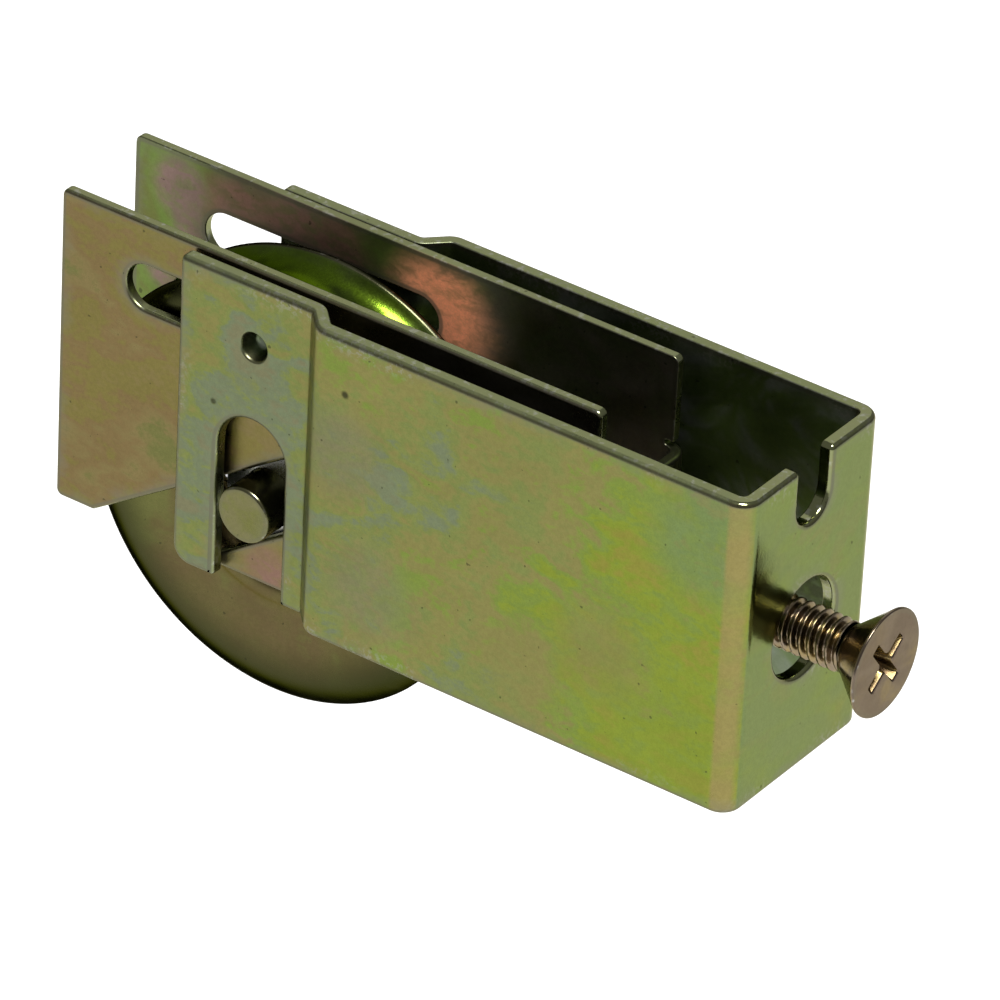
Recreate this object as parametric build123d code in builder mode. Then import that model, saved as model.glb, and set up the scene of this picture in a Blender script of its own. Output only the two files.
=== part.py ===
from build123d import *
import os
from math import cos, pi, radians, sin, tan

# Sliding door roller: a steel wheel hung in a sliding carriage, with a screw that sets its height.
# +X points out of the housing's end wall, +Z is up, and Y runs across the two side walls.
# The origin lies on the outer face of the end wall, midway between its notch and its screw hole.
# All sizes are in millimetres.

os.makedirs("parts", exist_ok=True)

# Housing: one stamping, a U in plan, with narrower ears at its free end
TOP_Z = 8.0
HEIGHT = 27.1
BOTTOM_Z = TOP_Z - HEIGHT
HOUSING_SHEET = 1.2
HOUSING_WIDTH = 17.6
HOUSING_BEND_R = 1.7
JOG_START_X = -38.5
JOG_END_X = -40.3
JOG_FILLET_R = 1.1
EAR_END_X = -52.8
EAR_OUTER_WIDTH = 13.9
EAR_CORNER_R = 1.6
EAR_TOP_CORNER_R = 0.5
NOTCH_WIDTH = 4.2
NOTCH_DEPTH = 5.4
NOTCH_LIP_R = 0.5
SCREW_Z = -6.7
SCREW_HOLE_R = 4.0

# Wheel centre, with the carriage where it is drawn
AXLE_X = -45.75
AXLE_Z = -12.0
EAR_SLOT_WIDTH = 6.3
EAR_SLOT_TOP_Z = -3.9

# Dimples in the ears, which guide the carriage by its level slots
DIMPLE_Z = 2.6
DIMPLE_HOLLOW_R = 1.2
DIMPLE_BOSS_R = 1.55
DIMPLE_REACH = 1.15
DIMPLE_HOLLOW_DEPTH = 1.5
DIMPLE_BOSS_TAPER = 12.0
DIMPLE_HOLLOW_TAPER = 16.0

# Carriage: one stamping, a U in plan, that slides between the ears
CARRIAGE_SHEET = 0.9
CARRIAGE_WIDTH = 10.8
CARRIAGE_LEFT_X = -65.2
CARRIAGE_TOP_Z = 8.3
FAR_PLATE_EXTRA = 0.6
PLATE_END_X = -15.4
WEB_FACE_X = -14.4
WEB_BEND_R = 1.7
WEB_TOP_Z = 0.5
LEVEL_SLOT_LEFT_X = -58.95
LEVEL_SLOT_RIGHT_X = -37.0
LEVEL_SLOT_WIDTH = 3.85
CAM_ANGLE = 33.4
CAM_SLOT_WIDTH = 5.6
CAM_RUN_UP = 6.9
CAM_RUN_DOWN = 24.0
PLATE_CORNER_R = 0.6

# Adjusting screw: No. 8-32 flat head
SCREW_R = 2.085
THREAD_PITCH = 0.79375
THREAD_DEPTH = 0.46
THREAD_CREST_START = 0.06
THREAD_CREST_END = 0.18
THREAD_ROOT_START = 0.56
THREAD_ROOT_END = 0.68
SCREW_FACE_X = 7.2
SCREW_LENGTH = 31.75
HEAD_R = 4.35
HEAD_RIM = 0.25
HEAD_HALF_ANGLE = 41.0
NECK_R = 1.95
NECK_LENGTH = 0.8
TAPPED_CLEARANCE = 0.05
RECESS_SPAN = 4.9
RECESS_WIDTH = 0.95
RECESS_DEPTH = 2.3
RECESS_FLOOR_SPAN = 1.24
RECESS_FLOOR_WIDTH = 0.57
RECESS_TURN = 38.0

# Axle
AXLE_R = 2.38
AXLE_LENGTH = 15.2
AXLE_CHAMFER = 0.3

# Bearing: one ring of balls between two cones and the two wheel shells
BALL_R = 1.5875
BALL_COUNT = 12
BALL_RING_R = 6.4
BEARING_GAP = 0.05
GROOVE_R = BALL_R + BEARING_GAP
CONE_HALF_WIDTH = 4.1
CONE_SHOULDER_Y = 2.5
CONE_BOSS_R = 4.1
CONE_BORE_GAP = 0.01

# Wheel shells: sheet steel with a hollow tread between two crests
WHEEL_SHEET = 1.0
SHELL_JOINT_GAP = 0.01
TREAD_FLOOR_R = 16.6

# Points on a shell's half section, each as its distance across from mid-wheel and its radius
TREAD_HALF_WAY = (1.4, 16.9)
CREST_IN = (2.62, 17.8)
CREST_TOP = (2.9, 17.9)
CREST_OUT = (3.18, 17.8)
SHOULDER = (3.75, 17.1)
FLANK_OUTER = (4.1, 15.6)
FLANK_INNER = (3.4, 10.0)
LIP_TURN = (3.2, 8.25)
LIP_END = (2.4, 7.45)
TREAD_BACK = (1.4, 15.83)
CREST_BACK = (2.85, 16.55)
SHOULDER_BACK = (3.03, 16.15)

# Where the raceways stop, in degrees round the ball from straight out
CONE_END_ANGLE = 135.0
RACE_END_ANGLE = 52.0
RACE_BACK_END_ANGLE = 38.0


def cross_slot(x_a, z_a, x_b, z_b, width):
    """Sketch on the XZ plane of a round-ended slot between two centres."""
    with BuildSketch(Plane.XZ) as slot:
        with BuildLine():
            Line((x_a, z_a), (x_b, z_b))
        trace(line_width=width)
        with Locations((x_a, z_a), (x_b, z_b)):
            Circle(width / 2)
    return slot.sketch


# ---------------------------------------------------------------- housing
sheet_mid_y = HOUSING_WIDTH / 2 - HOUSING_SHEET / 2
ear_mid_y = EAR_OUTER_WIDTH / 2 - HOUSING_SHEET / 2
ear_slot_r = EAR_SLOT_WIDTH / 2
bend_mid_r = HOUSING_BEND_R - HOUSING_SHEET / 2
jog_radii = (JOG_FILLET_R, JOG_FILLET_R)

with BuildPart() as housing:
    with BuildSketch(Plane.XY.offset(BOTTOM_Z)):
        with BuildLine():
            FilletPolyline(
                (EAR_END_X, ear_mid_y),
                (JOG_END_X, ear_mid_y),
                (JOG_START_X, sheet_mid_y),
                (-HOUSING_SHEET / 2, sheet_mid_y),
                (-HOUSING_SHEET / 2, -sheet_mid_y),
                (JOG_START_X, -sheet_mid_y),
                (JOG_END_X, -ear_mid_y),
                (EAR_END_X, -ear_mid_y),
                radius=jog_radii + (bend_mid_r, bend_mid_r) + jog_radii,
            )
        trace(line_width=HOUSING_SHEET)
    extrude(amount=HEIGHT)

    # Rounded free corners of the ears
    ear_corners = housing.edges().filter_by(Axis.Y).group_by(Axis.X)[0]
    fillet(ear_corners.group_by(Axis.Z)[0], EAR_CORNER_R)
    ear_corners = housing.edges().filter_by(Axis.Y).group_by(Axis.X)[0]
    fillet(ear_corners.group_by(Axis.Z)[-1], EAR_TOP_CORNER_R)

    # Half-pierced dimples: a boss on the inside of each ear and a hollow on the outside
    for side in (-1, 1):
        inner_face = Plane(
            (AXLE_X, side * (EAR_OUTER_WIDTH / 2 - HOUSING_SHEET), DIMPLE_Z), z_dir=(0, -side, 0)
        )
        with BuildSketch(inner_face):
            Circle(DIMPLE_BOSS_R)
        extrude(amount=DIMPLE_REACH, taper=DIMPLE_BOSS_TAPER)
        outer_face = Plane((AXLE_X, side * EAR_OUTER_WIDTH / 2, DIMPLE_Z), z_dir=(0, -side, 0))
        with BuildSketch(outer_face):
            Circle(DIMPLE_HOLLOW_R)
        extrude(amount=DIMPLE_HOLLOW_DEPTH, taper=DIMPLE_HOLLOW_TAPER, mode=Mode.SUBTRACT)

    # Axle slots, open at the bottom, through both ears
    slot_centre_z = EAR_SLOT_TOP_Z - ear_slot_r
    ear_slot = cross_slot(AXLE_X, slot_centre_z, AXLE_X, BOTTOM_Z - ear_slot_r, EAR_SLOT_WIDTH)
    extrude(ear_slot, amount=HOUSING_WIDTH, both=True, mode=Mode.SUBTRACT)

    # Notch in the top of the end wall, with rounded lips
    notch_r = NOTCH_WIDTH / 2
    with BuildSketch(Plane.YZ):
        with Locations((0, TOP_Z - NOTCH_DEPTH + notch_r)):
            Circle(notch_r)
        with Locations((0, TOP_Z - NOTCH_DEPTH + notch_r)):
            Rectangle(NOTCH_WIDTH, HEIGHT / 2, align=(Align.CENTER, Align.MIN))
    extrude(amount=HOUSING_BEND_R, both=True, mode=Mode.SUBTRACT)
    top_edges = housing.edges().filter_by(Axis.X).filter_by_position(Axis.Z, TOP_Z - 0.01, TOP_Z + 0.01)
    lips = top_edges.filter_by_position(Axis.Y, -notch_r - 0.01, notch_r + 0.01)
    fillet(lips, NOTCH_LIP_R)

    # Clearance hole for the adjusting screw
    with BuildSketch(Plane.YZ):
        with Locations((0, SCREW_Z)):
            Circle(SCREW_HOLE_R)
    extrude(amount=HOUSING_BEND_R, both=True, mode=Mode.SUBTRACT)

housing.part.label = "housing"
export_step(housing.part, "parts/housing.step")

# ---------------------------------------------------------------- carriage
plate_mid_y = CARRIAGE_WIDTH / 2 - CARRIAGE_SHEET / 2
web_mid_x = WEB_FACE_X - CARRIAGE_SHEET / 2
web_overlap_x = PLATE_END_X - HOUSING_BEND_R
web_height = 2 * (WEB_TOP_Z - SCREW_Z)
level_slot_r = LEVEL_SLOT_WIDTH / 2
cam_slope = tan(radians(CAM_ANGLE))

with BuildPart() as carriage:
    # The two plates, of which the far one is a little longer
    for side in (-1, 1):
        plate_left_x = CARRIAGE_LEFT_X - (FAR_PLATE_EXTRA if side > 0 else 0)
        with BuildSketch(Plane.XY.offset(BOTTOM_Z)):
            with Locations((plate_left_x, side * plate_mid_y)):
                Rectangle(PLATE_END_X - plate_left_x, CARRIAGE_SHEET, align=(Align.MIN, Align.CENTER))
        extrude(amount=CARRIAGE_TOP_Z - BOTTOM_Z)
    fillet(carriage.edges().filter_by(Axis.Y), PLATE_CORNER_R)

    # The cross web, bent round from plate to plate
    with BuildSketch(Plane.XY.offset(WEB_TOP_Z - web_height)):
        with BuildLine():
            FilletPolyline(
                (web_overlap_x, plate_mid_y),
                (web_mid_x, plate_mid_y),
                (web_mid_x, -plate_mid_y),
                (web_overlap_x, -plate_mid_y),
                radius=WEB_BEND_R - CARRIAGE_SHEET / 2,
            )
        trace(line_width=CARRIAGE_SHEET)
    extrude(amount=web_height)

    # Level slots that ride on the ears' dimples
    level_slot = cross_slot(
        LEVEL_SLOT_LEFT_X + level_slot_r,
        DIMPLE_Z,
        LEVEL_SLOT_RIGHT_X - level_slot_r,
        DIMPLE_Z,
        LEVEL_SLOT_WIDTH,
    )
    extrude(level_slot, amount=CARRIAGE_WIDTH, both=True, mode=Mode.SUBTRACT)

    # Inclined slots that carry the axle, open at the lower left
    cam_slot = cross_slot(
        AXLE_X - CAM_RUN_DOWN,
        AXLE_Z - CAM_RUN_DOWN * cam_slope,
        AXLE_X + CAM_RUN_UP,
        AXLE_Z + CAM_RUN_UP * cam_slope,
        CAM_SLOT_WIDTH,
    )
    extrude(cam_slot, amount=CARRIAGE_WIDTH, both=True, mode=Mode.SUBTRACT)

    # Hole in the web for the screw's thread
    with BuildSketch(Plane.YZ.offset(WEB_FACE_X - WEB_BEND_R)):
        with Locations((0, SCREW_Z)):
            Circle(SCREW_R + TAPPED_CLEARANCE)
    extrude(amount=2 * WEB_BEND_R, mode=Mode.SUBTRACT)

carriage.part.label = "carriage"
export_step(carriage.part, "parts/carriage.step")

# ---------------------------------------------------------------- adjusting screw
tip_x = SCREW_FACE_X - SCREW_LENGTH
cone_length = (HEAD_R - NECK_R) / tan(radians(HEAD_HALF_ANGLE))
neck_x = SCREW_FACE_X - HEAD_RIM - cone_length
thread_start_x = neck_x - NECK_LENGTH
root_r = SCREW_R - THREAD_DEPTH
groove_count = int((thread_start_x - tip_x - THREAD_PITCH) / THREAD_PITCH)

profile = [(SCREW_FACE_X, 0), (SCREW_FACE_X, HEAD_R), (SCREW_FACE_X - HEAD_RIM, HEAD_R)]
profile += [(neck_x, NECK_R), (thread_start_x, NECK_R)]
for turn in range(groove_count):
    groove_x = thread_start_x - turn * THREAD_PITCH
    profile.append((groove_x - THREAD_PITCH * THREAD_CREST_START, SCREW_R))
    profile.append((groove_x - THREAD_PITCH * THREAD_CREST_END, SCREW_R))
    profile.append((groove_x - THREAD_PITCH * THREAD_ROOT_START, root_r))
    profile.append((groove_x - THREAD_PITCH * THREAD_ROOT_END, root_r))
profile += [(tip_x + THREAD_DEPTH, root_r), (tip_x, root_r - THREAD_DEPTH), (tip_x, 0)]

with BuildPart() as screw:
    with BuildSketch(Plane.XZ):
        with BuildLine():
            Polyline([(x, SCREW_Z + r) for x, r in profile], close=True)
        make_face()
    revolve(axis=Axis((0, 0, SCREW_Z), (1, 0, 0)))

    # Cross recess in the head: two tapering wings
    for wing in (0, 90):
        head_face = Plane(
            (SCREW_FACE_X, 0, SCREW_Z),
            x_dir=(0, cos(radians(RECESS_TURN + wing)), sin(radians(RECESS_TURN + wing))),
            z_dir=(1, 0, 0),
        )
        with BuildSketch(head_face):
            Rectangle(RECESS_SPAN, RECESS_WIDTH)
        with BuildSketch(head_face.offset(-RECESS_DEPTH)):
            Rectangle(RECESS_FLOOR_SPAN, RECESS_FLOOR_WIDTH)
        loft(mode=Mode.SUBTRACT)

screw.part.label = "adjusting_screw"
export_step(screw.part, "parts/adjusting_screw.step")

# ---------------------------------------------------------------- axle
axle_plane = Plane((AXLE_X, AXLE_LENGTH / 2, AXLE_Z), z_dir=(0, -1, 0))
with BuildPart() as axle:
    with BuildSketch(axle_plane):
        Circle(AXLE_R)
    extrude(amount=AXLE_LENGTH)
    chamfer(axle.edges().filter_by(GeomType.CIRCLE), AXLE_CHAMFER)

axle.part.label = "axle"
export_step(axle.part, "parts/axle.step")

# ---------------------------------------------------------------- bearing and wheel
# Half sections are drawn with y across the wheel and r outwards from its axis.
wheel_axis = Axis((AXLE_X, 0, AXLE_Z), (0, 1, 0))
sides = {"near": -1, "far": 1}


def section_plane(side):
    """Plane whose first axis runs across the wheel to one side, and whose second runs up."""
    return Plane((AXLE_X, 0, AXLE_Z), x_dir=(0, side, 0), z_dir=(side, 0, 0))


def on_ball_circle(radius, angle):
    """Point at an angle from straight up, on a circle about a ball's centre."""
    return (radius * sin(radians(angle)), BALL_RING_R + radius * cos(radians(angle)))


sheet_back_r = GROOVE_R + WHEEL_SHEET
cone_bore_r = AXLE_R + CONE_BORE_GAP
flank_back_outer = (FLANK_OUTER[0] - WHEEL_SHEET, FLANK_OUTER[1])
flank_back_inner = (FLANK_INNER[0] - WHEEL_SHEET, FLANK_INNER[1])
shoulder_y, shoulder_r = on_ball_circle(GROOVE_R, CONE_END_ANGLE)

for name, side in sides.items():
    # Cone on the axle: half of the inner race
    with BuildPart() as cone:
        with BuildSketch(section_plane(side)):
            with BuildLine():
                ThreePointArc(
                    on_ball_circle(GROOVE_R, 180),
                    on_ball_circle(GROOVE_R, (180 + CONE_END_ANGLE) / 2),
                    (shoulder_y, shoulder_r),
                )
                Polyline(
                    (shoulder_y, shoulder_r),
                    (CONE_SHOULDER_Y, shoulder_r),
                    (CONE_SHOULDER_Y + shoulder_r - CONE_BOSS_R, CONE_BOSS_R),
                    (CONE_HALF_WIDTH, CONE_BOSS_R),
                    (CONE_HALF_WIDTH, cone_bore_r),
                    (0, cone_bore_r),
                    on_ball_circle(GROOVE_R, 180),
                )
            make_face()
        revolve(axis=wheel_axis)
    cone.part.label = "inner_race_" + name
    export_step(cone.part, "parts/inner_race_" + name + ".step")

    # Wheel shell: half of the hollow tread, a rounded shoulder, a flank and the rolled-in outer race
    tread_start = (SHELL_JOINT_GAP, TREAD_FLOOR_R)
    tread_back_start = (SHELL_JOINT_GAP, TREAD_FLOOR_R - WHEEL_SHEET)
    race_start = (SHELL_JOINT_GAP, BALL_RING_R + GROOVE_R)
    race_back_start = (SHELL_JOINT_GAP, BALL_RING_R + sheet_back_r)
    race_end = on_ball_circle(GROOVE_R, RACE_END_ANGLE)
    race_back_end = on_ball_circle(sheet_back_r, RACE_BACK_END_ANGLE)
    with BuildPart() as shell:
        with BuildSketch(section_plane(side)):
            with BuildLine():
                # Outer skin
                ThreePointArc(tread_start, TREAD_HALF_WAY, CREST_IN)
                ThreePointArc(CREST_IN, CREST_TOP, CREST_OUT)
                ThreePointArc(CREST_OUT, SHOULDER, FLANK_OUTER)
                Line(FLANK_OUTER, FLANK_INNER)
                ThreePointArc(FLANK_INNER, LIP_TURN, LIP_END)
                Line(LIP_END, race_end)
                ThreePointArc(race_end, on_ball_circle(GROOVE_R, RACE_END_ANGLE / 2), race_start)
                # Inner skin, one sheet thickness behind
                Line(race_start, race_back_start)
                ThreePointArc(
                    race_back_start,
                    on_ball_circle(sheet_back_r, RACE_BACK_END_ANGLE / 2),
                    race_back_end,
                )
                Line(race_back_end, flank_back_inner)
                Line(flank_back_inner, flank_back_outer)
                ThreePointArc(flank_back_outer, SHOULDER_BACK, CREST_BACK)
                Polyline(CREST_BACK, TREAD_BACK, tread_back_start, tread_start)
            make_face()
        revolve(axis=wheel_axis)
    shell.part.label = "wheel_shell_" + name
    export_step(shell.part, "parts/wheel_shell_" + name + ".step")

for number in range(BALL_COUNT):
    angle = 2 * pi * (number + 0.5) / BALL_COUNT
    with BuildPart() as ball:
        with Locations((AXLE_X + BALL_RING_R * cos(angle), 0, AXLE_Z + BALL_RING_R * sin(angle))):
            Sphere(BALL_R)
    ball_name = "ball_" + str(number + 1)
    ball.part.label = ball_name
    export_step(ball.part, "parts/" + ball_name + ".step")
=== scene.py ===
import math
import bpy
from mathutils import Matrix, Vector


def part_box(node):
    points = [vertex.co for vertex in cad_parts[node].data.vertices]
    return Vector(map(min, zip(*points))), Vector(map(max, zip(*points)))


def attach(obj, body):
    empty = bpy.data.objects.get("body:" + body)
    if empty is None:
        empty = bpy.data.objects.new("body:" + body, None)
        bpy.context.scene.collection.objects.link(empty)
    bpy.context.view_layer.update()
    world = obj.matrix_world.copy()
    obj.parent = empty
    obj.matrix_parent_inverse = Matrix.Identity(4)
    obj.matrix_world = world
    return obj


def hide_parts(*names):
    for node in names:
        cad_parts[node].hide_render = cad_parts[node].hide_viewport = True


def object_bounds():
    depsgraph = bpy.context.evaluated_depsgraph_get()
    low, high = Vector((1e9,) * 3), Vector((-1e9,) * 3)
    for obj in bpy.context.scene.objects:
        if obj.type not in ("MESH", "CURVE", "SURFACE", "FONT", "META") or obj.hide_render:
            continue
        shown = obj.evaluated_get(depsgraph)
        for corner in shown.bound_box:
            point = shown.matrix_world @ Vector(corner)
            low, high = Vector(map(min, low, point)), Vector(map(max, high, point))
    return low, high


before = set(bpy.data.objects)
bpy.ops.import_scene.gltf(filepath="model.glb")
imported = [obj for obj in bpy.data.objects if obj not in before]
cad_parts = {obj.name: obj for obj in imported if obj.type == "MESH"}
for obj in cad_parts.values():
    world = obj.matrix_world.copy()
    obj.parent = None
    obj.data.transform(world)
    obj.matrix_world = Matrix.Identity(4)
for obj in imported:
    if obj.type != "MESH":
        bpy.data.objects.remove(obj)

from types import SimpleNamespace

import bpy
import numpy as np
from mathutils import Matrix, Vector
from mathutils.geometry import delaunay_2d_cdt

# Sliding door roller, in yellow plated steel. Lengths here are in millimetres, in the frame's own axes:
# +X out of the housing's end wall, +Y across, +Z up. Meshes are scaled to metres as they are made.
MM = 0.001
cad_low, cad_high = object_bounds()


def box_mm(node):
    """Lowest and highest corner of a CAD node, in millimetres."""
    low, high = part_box(node)
    return low / MM, high / MM


housing_low, housing_high = box_mm("housing")
carriage_low, carriage_high = box_mm("carriage")
screw_low, screw_high = box_mm("adjusting_screw")
axle_low, axle_high = box_mm("axle")
shell_low, shell_high = box_mm("wheel_shell_far")

# Places taken from the frame
TOP_Z = housing_high.z
BOTTOM_Z = housing_low.z
EAR_END_X = housing_low.x
END_FACE_X = housing_high.x
CARRIAGE_TOP_Z = carriage_high.z
WEB_FACE_X = carriage_high.x
AXLE_X = (axle_low.x + axle_high.x) / 2
AXLE_Z = (axle_low.z + axle_high.z) / 2
AXLE_R = (axle_high.z - axle_low.z) / 2
AXLE_HALF_LENGTH = (axle_high.y - axle_low.y) / 2
SCREW_Z = (screw_low.z + screw_high.z) / 2
SCREW_FACE_X = screw_high.x
SCREW_TIP_X = screw_low.x
HEAD_R = (screw_high.z - screw_low.z) / 2
WHEEL_R = (shell_high.z - shell_low.z) / 2
CONE_END_Y = box_mm("inner_race_far")[1].y

# Housing
HOUSING_SHEET = 1.2
HOUSING_BEND_R = 1.7
HOUSING_ROLLED_R = 0.45
HOUSING_BITTEN_R = 0.12
JOG_START_X = -38.5
JOG_END_X = -40.3
JOG_FILLET_R = 1.1
EAR_OUTER_WIDTH = 13.9
EAR_CORNER_R = 1.6
EAR_TOP_CORNER_R = 0.5
EAR_SLOT_WIDTH = 6.3
EAR_SLOT_TOP_Z = -3.9
EAR_SLOT_MOUTH_R = 0.25
NOTCH_WIDTH = 4.2
NOTCH_DEPTH = 5.4
NOTCH_LIP_R = 0.5
SCREW_HOLE_R = 4.0
DIMPLE_Z = 2.6
DIMPLE_REACH = 1.15

# Carriage
FAR_PLATE_EXTRA = 0.6
CARRIAGE_END_X = carriage_low.x + FAR_PLATE_EXTRA
CARRIAGE_SHEET = 0.9
CARRIAGE_ROLLED_R = 0.32
CARRIAGE_BITTEN_R = 0.1
PLATE_END_X = -15.4
PLATE_CORNER_R = 0.6
WEB_BEND_R = 1.7
WEB_TOP_Z = 0.5
WEB_LOW_Z = 2 * SCREW_Z - WEB_TOP_Z
RELIEF_WIDTH = 0.5
RELIEF_INTO_BEND = 0.15
RELIEF_MOUTH_R = 0.15
LEVEL_SLOT_LEFT_X = -58.95
LEVEL_SLOT_RIGHT_X = -37.0
LEVEL_SLOT_WIDTH = 3.85
CAM_ANGLE = math.radians(33.4)
CAM_SLOT_WIDTH = 5.6
CAM_RUN_UP = 6.9
CAM_MOUTH_R = 0.3

# Screw
SCREW_R = 2.085
THREAD_PITCH = 0.79375
THREAD_DEPTH = 0.46
THREAD_CREST = 0.10  # half a crest and one flank, as shares of the pitch
THREAD_FLANK = 0.30
LEAD_IN = 0.5
LEAD_IN_SLOPE = 0.8
TAPPED_CLEARANCE = 0.05
HEAD_RIM = 0.25
HEAD_HALF_ANGLE = math.radians(41)
HEAD_EDGE_R = 0.12
HEAD_BACK_EDGE_R = 0.08
FACE_SEAM_IN = 0.42
NECK_R = 1.95
NECK_LENGTH = 0.8
NECK_FILLET_R = 0.9
RECESS_SPAN = 4.9
RECESS_WIDTH = 0.95
RECESS_DEPTH = 2.3
RECESS_TURN = math.radians(38)

# Axle, bearing and wheel; section points are (distance across from mid-wheel, radius)
AXLE_ROUNDING = 0.3
PRESS_GAP = 0.01
BALL_R = 1.5875
BALL_RING_R = 6.4
BEARING_GAP = 0.05
CONE_SHOULDER_Y = 2.5
CONE_BOSS_R = 4.1
WHEEL_SHEET = 1.0
SHELL_JOINT_GAP = 0.01
TREAD_FLOOR_R = 16.6
TREAD_HALF_WAY = (1.4, 16.9)
CREST_IN = (2.62, 17.8)
CREST_TOP = (2.9, WHEEL_R)
CREST_OUT = (3.18, 17.8)
SHOULDER = (3.75, 17.1)
FLANK_OUTER = (4.1, 15.6)
FLANK_INNER = (3.4, 10.0)
LIP_TURN = (3.2, 8.25)
LIP_END = (2.4, 7.45)
TREAD_BACK = (1.4, 15.83)
CREST_BACK = (2.85, 16.55)
SHOULDER_BACK = (3.03, 16.15)

# Meshes
ROUND_END = 0.999  # corner radius of a round end, as a share of half its width
ROLLED_STEPS = 6
BITTEN_STEPS = 3
DIMPLE_SEGMENTS = 40
BEND_LINE_STEP = 1.1
GRID_STEP = 1.3
GRID_ROWS_IN = (0.32, 0.9)
GRID_APART = 0.35
GRID_LOOK_BACK = 60
EDGE_CLEARANCE = 0.3
SAME_POINT = 1e-5


# ---- outlines and sections
def rounded(corners, closed=True, step=9.0):
    """Points and normals along a polyline whose corners (x, y, radius) are rounded.
    The material lies to the left of the direction of travel, so the normals point right."""
    made = []
    count = len(corners)
    for i, (x, y, radius) in enumerate(corners):
        here = Vector((x, y))
        if not closed and i in (0, count - 1):
            other = Vector(corners[1][:2] if i == 0 else corners[-2][:2])
            along = (other - here if i == 0 else here - other).normalized()
            made.append((here, Vector((along.y, -along.x))))
            continue
        before = (here - Vector(corners[i - 1][:2])).normalized()
        after = (Vector(corners[(i + 1) % count][:2]) - here).normalized()
        turn = turning(before, after)
        start = here - before * radius * math.tan(abs(turn) / 2)
        left = Vector((-before.y, before.x)) * math.copysign(radius, turn)
        centre = start + left
        steps = max(2, math.ceil(math.degrees(abs(turn)) / step))
        for k in range(steps + 1):
            spin = Matrix.Rotation(turn * k / steps, 2)
            along = spin @ before
            made.append((centre + spin @ (start - centre), Vector((along.y, -along.x))))
    kept = []
    previous = made[-1][0] if closed else None
    for place, normal in made:
        if previous is None or (place - previous).length > SAME_POINT:
            kept.append((place, normal))
        previous = place
    return kept


def turning(before, after):
    """The signed angle from one direction to the next, positive to the left."""
    return math.atan2(before.x * after.y - before.y * after.x, before.dot(after))


def circle(x, y, radius, count=48):
    """A round hole's outline, run clockwise, with normals pointing to its middle."""
    turns = [-2 * math.pi * k / count for k in range(count)]
    outs = [Vector((math.cos(a), math.sin(a))) for a in turns]
    return [(Vector((x, y)) + out * radius, -out) for out in outs]


def arc(start, middle, end, steps=12):
    """Points on the circle through three points, from the first to the last."""
    start = Vector(start)
    a, b = Vector(middle) - start, Vector(end) - start
    across = a * b.length_squared - b * a.length_squared
    centre = start + Vector((-across.y, across.x)) / (2 * (a.x * b.y - a.y * b.x))
    first = start - centre
    swing = first.angle_signed(Vector(end) - centre)
    half = first.angle_signed(Vector(middle) - centre)
    if swing * half < 0:
        swing -= math.copysign(2 * math.pi, swing)
    return [centre + Matrix.Rotation(-swing * k / steps, 2) @ first for k in range(steps + 1)]


def section_normals(points, sharp=math.radians(40), soften=0.04):
    """Points and normals of a closed section. A sharp corner becomes a tiny chamfer whose ends keep the
    normals of the two sides; elsewhere the sides' normals are averaged."""
    points = [Vector(p) for p in points]
    kept = [b for a, b in zip([points[-1]] + points, points) if (b - a).length > SAME_POINT]
    made = []
    for i, here in enumerate(kept):
        before = (here - kept[i - 1]).normalized()
        after = (kept[(i + 1) % len(kept)] - here).normalized()
        if abs(turning(before, after)) > sharp:
            made.append((here - before * soften, Vector((before.y, -before.x))))
            made.append((here + after * soften, Vector((after.y, -after.x))))
        else:
            along = (before + after).normalized()
            made.append((here, Vector((along.y, -along.x))))
    return made


# ---- meshes
def put(name, data):
    """An object in the scene."""
    made = bpy.data.objects.new(name, data)
    bpy.context.scene.collection.objects.link(made)
    return made


def finish_mesh(name, points, faces, normals, gaps, inner=None, cut=None):
    """An object from millimetre points, with its own normals. Each point carries its distance from a worn
    edge, and whether it lies on the sheet's inner side or on its cut edge."""
    mesh = bpy.data.meshes.new(name)
    mesh.from_pydata([tuple(c * MM for c in p) for p in points], [], faces)
    mesh.shade_smooth()
    mesh.normals_split_custom_set_from_vertices([tuple(n) for n in normals])
    none = [0.0] * len(points)
    for key, values in (("edge_gap", gaps), ("inner", inner or none), ("cut", cut or none)):
        mesh.attributes.new(key, "FLOAT", "POINT").data.foreach_set("value", values)
    return put(name, mesh)


class Bend:
    """The plan of a bent strip: where a place u along the flat sheet comes to lie. Its last straight run
    is longer than its first by extra."""

    def __init__(self, corners, straight=0.0, extra=0.0):
        line = rounded(corners, closed=False, step=5.0)
        self.columns = np.array([(*p, *n) for p, n in line]).T
        gaps = np.linalg.norm(np.diff(self.columns[:2]), axis=0)
        self.stations = np.concatenate([[0], np.cumsum(gaps)])
        self.lines = self.stations[1:-1]
        self.length = self.stations[-1] - extra
        self.straight = straight

    def at(self, u):
        """Mid-sheet place and outward normal, in plan, at distance u along the strip."""
        found = np.array([np.interp(u, self.stations, column) for column in self.columns])
        return found[:2], found[2:] / np.linalg.norm(found[2:])

    def on_straight(self, u):
        """The nearest place to u on the strip's first or last straight run."""
        if u < self.length / 2:
            return min(u, self.straight)
        return max(u, self.length - self.straight)


def mirrored(half, length, extra=0.0):
    """A half outline turned over about the middle of a strip, with its far end moved out by extra."""
    return [(length - u + (extra if u == 0 else 0), v, r) for u, v, r in reversed(half)]


def split_at(loop, stations):
    """Adds a point wherever a loop crosses a bend line."""
    made = []
    for i, (here, normal) in enumerate(loop):
        there, next_normal = loop[(i + 1) % len(loop)]
        made.append((here, normal))
        run = there.x - here.x
        if abs(run) < 1e-9:
            continue
        shares = [(s - here.x) / run for s in stations]
        for t in sorted(t for t in shares if 1e-6 < t < 1 - 1e-6):
            made.append((here.lerp(there, t), normal.lerp(next_normal, t).normalized()))
    return made


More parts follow.
